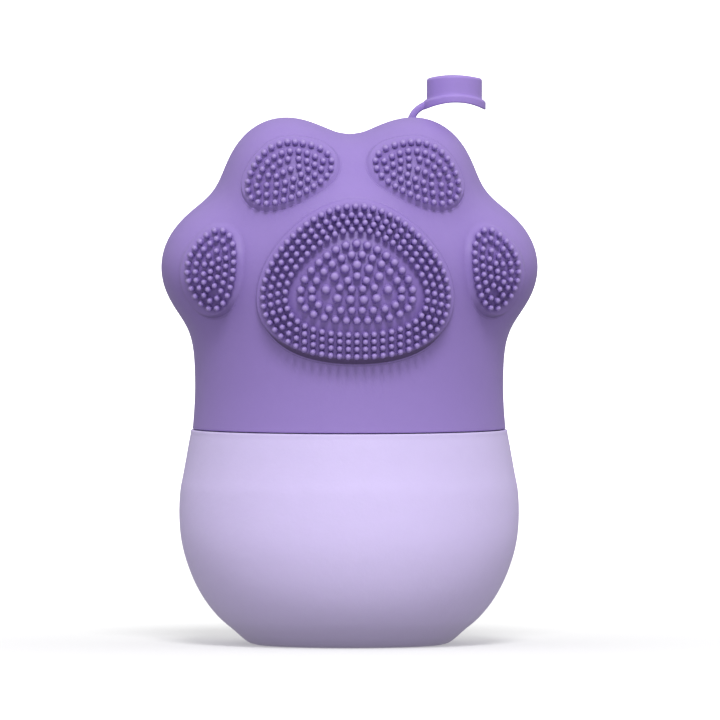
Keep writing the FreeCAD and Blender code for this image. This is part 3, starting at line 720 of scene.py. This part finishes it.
# ------------------------------------------------------------------ bristles
def bristles(name, places, kind, rise, seg=18):
    """Tapered round-ended pegs along -Y; each root is flared and follows the slope of its pad."""
    r, lengths = kind
    places = np.array(places, float)
    up = rise_at(rise, places[:, 1])
    stands = rise_at(lengths, places[:, 1])
    foot = front(places[:, 0], places[:, 1], up)
    n = unit(grad(foot))
    cosn = np.maximum(-n[:, 1], 0.3)
    root = np.maximum(0.10, np.minimum(0.80, up + 0.36 - r * 1.2 * np.sqrt(1 - cosn ** 2))) / cosn
    # rings: radius, height over the pad, how much the ring follows the slope
    a = np.linspace(0, 2 * np.pi, seg, endpoint=False)
    ca, sa = np.cos(a), np.sin(a)
    V, F = [], []
    for i in range(len(foot)):
        stand = stands[i]
        rr = [(1.20, 0.0, 1.0), (1.20, 0.03, 1.0), (1.13, 0.10, 1.0), (1.07, 0.20, 0.9), (1.03, 0.36, 0.7)]
        top = stand - 0.92 * r
        for k in range(1, 5):
            u = k / 4.0
            rr.append((1.03 - 0.05 * u, 0.36 + (top - 0.36) * u, 0.7 * (1 - u) ** 2))
        for k in range(1, 7):
            t = math.pi / 2 * k / 7
            rr.append((0.98 * math.cos(t), top + 0.92 * r * math.sin(t), 0.0))
        slope = np.array([-n[i, 0], -n[i, 2]]) / n[i, 1]
        rows = [(1.20, -root[i], 1.0)] + rr
        for rad, h, w in rows:
            dx, dz = r * rad * ca, r * rad * sa
            V.append(np.stack([foot[i, 0] + dx, foot[i, 1] - h + w * (slope[0] * dx + slope[1] * dz), foot[i, 2] + dz], 1))
        V.append(np.array([[foot[i, 0], foot[i, 1] - stand, foot[i, 2]], [foot[i, 0], foot[i, 1] + root[i], foot[i, 2]]]))
        m = len(rows)
        k = i * (m * seg + 2)
        F += grid_faces(m, seg, base=k)
        b = k + (m - 1) * seg
        F += [(k + m * seg, b + c, b + (c + 1) % seg) for c in range(seg)]
        F += [(k + m * seg + 1, k + (c + 1) % seg, k + c) for c in range(seg)]
    ob = make_mesh(name, np.vstack(V), F)
    recalc(ob)
    return ob


# radius, then length over the pad at two heights
FINE, TOEB = (0.60, ((92.0, 2.9), (76.0, 2.1))), (0.58, ((93.0, 1.8), (88.0, 2.0)))
NUB, BIG = (0.80, ((84.5, 2.1), (70.0, 1.7))), (0.94, ((81.0, 2.0), (73.0, 1.8)))


def ring_places(name):
    n, half = RING[name][:2]
    return [sym(RING[name], 2 * math.pi * (i + half) / n) for i in range(n)]


def toe_places(rim, field):
    n, xs, zs = rim
    return [gen(xs, zs, 2 * math.pi * i / n) for i in range(n)] + list(field)


def mx(places):
    return [(-x, z) for x, z in places]


top_p, side_p = toe_places(TOP_RIM, TOP_FIELD), toe_places(SIDE_RIM, SIDE_FIELD)
for nm, places, kind, rise in (
        ("palm_fine_bristles", sum([ring_places("fine_" + k) for k in "abcd"], []), FINE, PALM_RISE),
        ("palm_nubs", ring_places("nub_a") + ring_places("nub_b") + ring_places("nub_c"), NUB, PALM_RISE),
        ("palm_large_nubs", [(0.0, 80.5)] + list(LARGE) + mx(LARGE), BIG, PALM_RISE),
        ("toe_bristles_top_left", top_p, TOEB, TOP_RISE), ("toe_bristles_top_right", mx(top_p), TOEB, TOP_RISE),
        ("toe_bristles_side_left", side_p, TOEB, SIDE_RISE), ("toe_bristles_side_right", mx(side_p), TOEB, SIDE_RISE)):
    ob = bristles(nm + "_soft", places, kind, rise)
    finish_piece(ob, "cover", mat_bristle, "bristle_silicone", nm)

# ------------------------------------------------------------------ holder
OUT = [(19.6, 0.0), (21.0, 0.42), (22.45, 1.45), (24.10, 2.92), (27.08, 5.44), (29.91, 8.80),
       (32.36, 13.00), (34.30, 18.04), (35.27, 22.24), (35.66, 27.28), (35.43, 32.48),
       (34.84, 35.68), (34.23, 39.04), (33.64, 42.40), (33.30, 44.10)]
curve = catmull(OUT, 6)
inner = []
for i in range(3, len(OUT) - 1):
    (ar, az), (br, bz) = OUT[i - 1], OUT[i + 1]
    q = math.hypot(br - ar, bz - az)
    inner.append((OUT[i][0] - 2.6 * (bz - az) / q, OUT[i][1] + 2.6 * (br - ar) / q))
inner = [(18.6, 3.0)] + [p for p in inner if 3.6 < p[1] < 36.0] + [(31.9, 36.4)]
rim = [(33.30, 44.10), (33.27, 44.50), (33.24, SEAM_Z - 0.14), (33.18, SEAM_Z - 0.04), (33.05, SEAM_Z)]
mouth = rounded([(33.05, SEAM_Z), (31.0, SEAM_Z), (31.0, 36.4), (31.9, 36.4)], [0, 0.25, 0.2, 0], 4)
prof = np.vstack([curve, np.array(rim)[1:], mouth[1:-1], catmull(inner, 4)[::-1]])
prof = prof[np.concatenate([[True], np.linalg.norm(np.diff(prof, axis=0), axis=1) > 1e-4])]
foot = [(r, 0.0) for r in (4, 8, 12, 16, 18.6, 19.3)]
floor_in = [(r, 3.0) for r in (17.0, 12.0, 8.0, 4.0)]
prof = np.vstack([np.array(foot), prof, np.array(floor_in)])
holder = rings("base_shell_skin", revolve("h", prof, 288), fan_first=True, fan_last=True)
finish_piece(holder, "base", mat_base, "holder_silicone", "base_shell")

# stiff collar with rolled edges and the groove for its seal
col = [(26.4, 37.0), (31.0, 37.0), (31.0, SEAM_Z - 0.6), (29.3, SEAM_Z - 0.6), (29.3, 49.4), (27.9, 49.4), (27.9, 51.8), (29.3, 51.8),
       (29.3, 56.0), (28.3, 57.0), (26.4, 57.0)]
col = densify(rounded(col, [0.4, 0.4, 0.15, 0.2, 0.15, 0.1, 0.1, 0.15, 0.5, 0.5, 0.5], 5), 1.2)
collar = rings("rim_collar_ring", revolve("c", col, 240), close_rows=True)
finish_piece(collar, "base", mat_collar, "collar_plastic", "rim_collar")

# lip seal: flat back in the groove, a rounded crest that meets the skirt's bore
sl = [(27.96, 49.45), (28.9, 49.45), (29.35, 49.85), (29.52, 50.6), (29.35, 51.35), (28.9, 51.75), (27.96, 51.75)]
sl = rounded(sl, [0.15, 0.5, 0.5, 0.9, 0.5, 0.5, 0.15], 5)
seal = rings("collar_seal_ring", revolve("s", sl, 240), close_rows=True)
finish_piece(seal, "seal", mat_seal, "seal_silicone", "collar_seal")


# ------------------------------------------------------------------ plug
def build_plug():
    cols = 200
    p = np.linspace(0, 2 * np.pi, cols, endpoint=False)
    rows = []

    def arch(rho, R):
        x = rho * np.cos(p)
        return np.sqrt(R * R - x * x) - R

    def ring(rho, a, bend):
        rows.append(np.stack([PLUG[0] + rho * np.cos(p), PLUG[1] + rho * np.sin(p), PLUG[2] + a + bend], 1))

    lo, hi = FLANGE_BEND, FLANGE_BEND + FLANGE_T
    for rho in (1.0, 2.2, 3.4, 4.6, 5.5):
        ring(rho, 0.0, arch(rho, lo))
    r = 0.35
    for j in range(6):
        t = math.pi / 2 * j / 5
        rho = FLANGE_R - r + r * math.sin(t)
        ring(rho, r * (1 - math.cos(t)), arch(rho, lo))
    ring(FLANGE_R, 0.5 * FLANGE_T, 0.5 * (arch(FLANGE_R, lo) + arch(FLANGE_R, hi)))
    r = 0.5
    for j in range(8):
        t = math.pi / 2 * j / 7
        rho = FLANGE_R - r * (1 - math.cos(t))
        ring(rho, FLANGE_T - r + r * math.sin(t), arch(rho, hi))
    # small fillet between flange and stem
    ring(STEM_R + 0.16, FLANGE_T, arch(STEM_R + 0.16, hi))
    ring(STEM_R + 0.05, FLANGE_T + 0.06, arch(STEM_R, hi))
    top = FLANGE_T + STEM_H
    r = 0.48
    for j in range(7):
        u = j / 6.0
        h = (FLANGE_T + 0.2) * (1 - u) + (top - r) * u
        ring(STEM_R, h, arch(STEM_R, hi) * (1 - u) + arch(STEM_R, STEM_CROWN) * u)
    for j in range(1, 8):
        t = math.pi / 2 * j / 7
        rho = STEM_R - r * (1 - math.cos(t))
        ring(rho, top - r + r * math.sin(t), arch(rho, STEM_CROWN))
    for rho in (4.6, 3.6, 2.4, 1.2):
        ring(rho, top, arch(rho, STEM_CROWN))
    return rings("fill_plug_skin", np.array(rows), fan_first=True, fan_last=True)


plug = build_plug()
finish_piece(plug, "plug", mat_plug, "paw_silicone", "fill_plug")


# ------------------------------------------------------------------ strap
def build_strap():
    # centre line in the plug's plane: x, z, half width, half thickness
    line = [(12.95, 108.3, 1.95, 1.2), (13.05, 109.0, 1.78, 0.98), (13.2, 109.7, 1.7, 0.84), (13.45, 110.6, 1.7, 0.76),
            (13.97, 111.55, 1.7, 0.72), (14.8, 112.35, 1.7, 0.72), (15.75, 112.92, 1.72, 0.75), (16.5, 113.22, 1.78, 0.80),
            (17.4, 113.52, 1.85, 0.80)]
    c = catmull(line, 6)
    tan = np.gradient(c[:, :2], axis=0)
    tan /= np.linalg.norm(tan, axis=1, keepdims=True)
    nor = np.stack([-tan[:, 1], tan[:, 0]], 1)
    cols = 36
    q = np.linspace(0, 2 * np.pi, cols, endpoint=False)
    k = 0.45                                   # rounded-rectangle section
    cx = np.sign(np.cos(q)) * np.abs(np.cos(q)) ** k
    cy = np.sign(np.sin(q)) * np.abs(np.sin(q)) ** k
    G = []
    for i in range(len(c)):
        t = cy * c[i, 3]
        G.append(np.stack([c[i, 0] + nor[i, 0] * t, PLUG[1] + cx * c[i, 2], c[i, 1] + nor[i, 1] * t], 1))
    return rings("plug_tether_strap", np.array(G), fan_first=True, fan_last=True)


strap = build_strap()
strap.data.materials.clear()
strap.data.materials.append(mat_plug)
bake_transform(strap)
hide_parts("plug_tether")

# ------------------------------------------------------------------ stage, light, camera
def stage_floor():
    # flat table that sweeps up into a plain wall far out on every side
    n = 96
    prof = [(r, 0.0) for r in (0.02, 0.06, 0.12, 0.25, 0.5, 1.0, 2.0, 4.0, 7.0, 11.0, 15.0, 20.0)]
    prof += [(20.0 + 6.0 * math.sin(math.pi / 2 * k / 10), 6.0 - 6.0 * math.cos(math.pi / 2 * k / 10)) for k in range(1, 11)]
    prof += [(26.0, 12.0)]
    V = [(0.0, 0.0, 0.0)] + [(r * math.cos(2 * math.pi * i / n), r * math.sin(2 * math.pi * i / n), z) for r, z in prof for i in range(n)]
    F = [(0, 1 + i, 1 + (i + 1) % n) for i in range(n)]
    for j in range(len(prof) - 1):
        a, b = 1 + j * n, 1 + (j + 1) * n
        F += [(a + i, b + i, b + (i + 1) % n, a + (i + 1) % n) for i in range(n)]
    me = bpy.data.meshes.new("floor")
    me.from_pydata(V, [], F)
    me.update()
    ob = bpy.data.objects.new("floor", me)
    bpy.context.scene.collection.objects.link(ob)
    m, nt, bs, tc = new_material("floor_pale")
    bs.inputs["Roughness"].default_value = 0.9
    bs.inputs["Specular IOR Level"].default_value = 0.0
    mix = nt.nodes.new("ShaderNodeMix")
    mix.data_type = "RGBA"
    mix.inputs["A"].default_value = (0.572, 0.572, 0.572, 1)
    mix.inputs["B"].default_value = (0.580, 0.580, 0.580, 1)
    nt.links.new(noise(nt, tc, 3.0).outputs["Fac"], mix.inputs["Factor"])
    nt.links.new(mix.outputs["Result"], bs.inputs["Base Color"])
    bs.inputs["Emission Color"].default_value = (1, 1, 1, 1)      # painted light: the white table glows, a little more from 45 mm out and much more far away, lifting its shadows and whitening the far floor
    far = nt.nodes.new("ShaderNodeVectorMath")
    far.operation = "LENGTH"
    nt.links.new(tc.outputs["Object"], far.inputs[0])
    painted_floor_glow = nt.nodes.new("ShaderNodeMath")
    painted_floor_glow.operation = "ADD"
    nt.links.new(ramp(nt, far.outputs["Value"], 0.045, 0.12, 0.30, 0.345), painted_floor_glow.inputs[0])
    nt.links.new(ramp(nt, far.outputs["Value"], 0.15, 1.2, 0.0, 0.75), painted_floor_glow.inputs[1])
    nt.links.new(painted_floor_glow.outputs[0], bs.inputs["Emission Strength"])
    me.materials.append(m)
    # the soft bounce from below is part of the world light, so the floor doesn't add its own
    ob.visible_diffuse = False
    ob.visible_glossy = False
    ob.visible_shadow = False


stage_floor()


def sun(name, el, az, strength, angle):
    l = bpy.data.lights.new(name, "SUN")
    l.energy = strength
    l.angle = math.radians(angle)
    o = bpy.data.objects.new(name, l)
    e, a = math.radians(el), math.radians(az)
    d = Vector((math.cos(e) * math.sin(a), -math.cos(e) * math.cos(a), math.sin(e)))   # towards the light
    o.rotation_euler = d.to_track_quat("Z", "Y").to_euler()
    bpy.context.scene.collection.objects.link(o)
    return o


sun("key", 50, 2, 1.87, 17.3)

world = bpy.data.worlds.new("studio")
bpy.context.scene.world = world
world.use_nodes = True
nt = world.node_tree
nt.nodes.clear()
wo = nt.nodes.new("ShaderNodeOutputWorld")
bg = nt.nodes.new("ShaderNodeBackground")
nt.links.new(bg.outputs[0], wo.inputs[0])
tcw = nt.nodes.new("ShaderNodeTexCoord")
sep = nt.nodes.new("ShaderNodeSeparateXYZ")
nt.links.new(tcw.outputs["Generated"], sep.inputs[0])


def wmath(op, a, b=None):
    n = nt.nodes.new("ShaderNodeMath")
    n.operation = op
    for i, v in enumerate((a, b)):
        if v is None:
            continue
        if isinstance(v, (int, float)):
            n.inputs[i].default_value = v
        else:
            nt.links.new(v, n.inputs[i])
    return n.outputs[0]


def square(v):
    return wmath("MULTIPLY", v, v)


# soft boxes above, in front and at both sides, with a dim bounce from below
overhead = wmath("MAXIMUM", sep.outputs["Z"], 0.0)
front_side = wmath("MAXIMUM", wmath("MULTIPLY", sep.outputs["Y"], -1.0), 0.0)
right_side = wmath("MAXIMUM", sep.outputs["X"], 0.0)
left_side = wmath("MAXIMUM", wmath("MULTIPLY", sep.outputs["X"], -1.0), 0.0)
back_side = wmath("MAXIMUM", sep.outputs["Y"], 0.0)
above = wmath("GREATER_THAN", sep.outputs["Z"], 0.0)
below = wmath("SUBTRACT", 1.0, above)


def weighted(*terms):
    out = None
    for v, k in terms:
        t = wmath("MULTIPLY", square(v), k)
        out = t if out is None else wmath("ADD", out, t)
    return out


upper = weighted((overhead, 0.96), (front_side, 0.42), (right_side, 0.90), (left_side, 0.80), (back_side, 0.30))
lower = wmath("ADD", weighted((front_side, 1.03), (back_side, 0.30)), 0.176)
total = wmath("ADD", wmath("MULTIPLY", upper, above), wmath("MULTIPLY", lower, below))
# seen directly, the studio is plain white all round
seen = nt.nodes.new("ShaderNodeLightPath").outputs["Is Camera Ray"]
total = wmath("ADD", wmath("MULTIPLY", total, wmath("SUBTRACT", 1.0, seen)), seen)
nt.links.new(total, bg.inputs["Strength"])
bg.inputs["Color"].default_value = (1, 1, 1, 1)

az, el = math.radians(-2.65), math.radians(1.6)
right = np.array([math.cos(az), math.sin(az), 0])
fwd = np.array([-math.sin(az) * math.cos(el), math.cos(az) * math.cos(el), -math.sin(el)])
up = np.cross(right, fwd)
target = 2.289 * right + 59.66 * up
cd = bpy.data.cameras.new("camera")
cd.sensor_width = 36
cd.lens = 1000
cd.clip_start = 0.1
cd.clip_end = 100
cam = bpy.data.objects.new("camera", cd)
cam.location = Vector((target - 4200.0 * fwd) * MM)
cam.rotation_euler = Vector(-fwd).to_track_quat("Z", "Y").to_euler()
bpy.context.scene.collection.objects.link(cam)
bpy.context.scene.camera = cam
bpy.context.scene.view_settings.view_transform = "Standard"
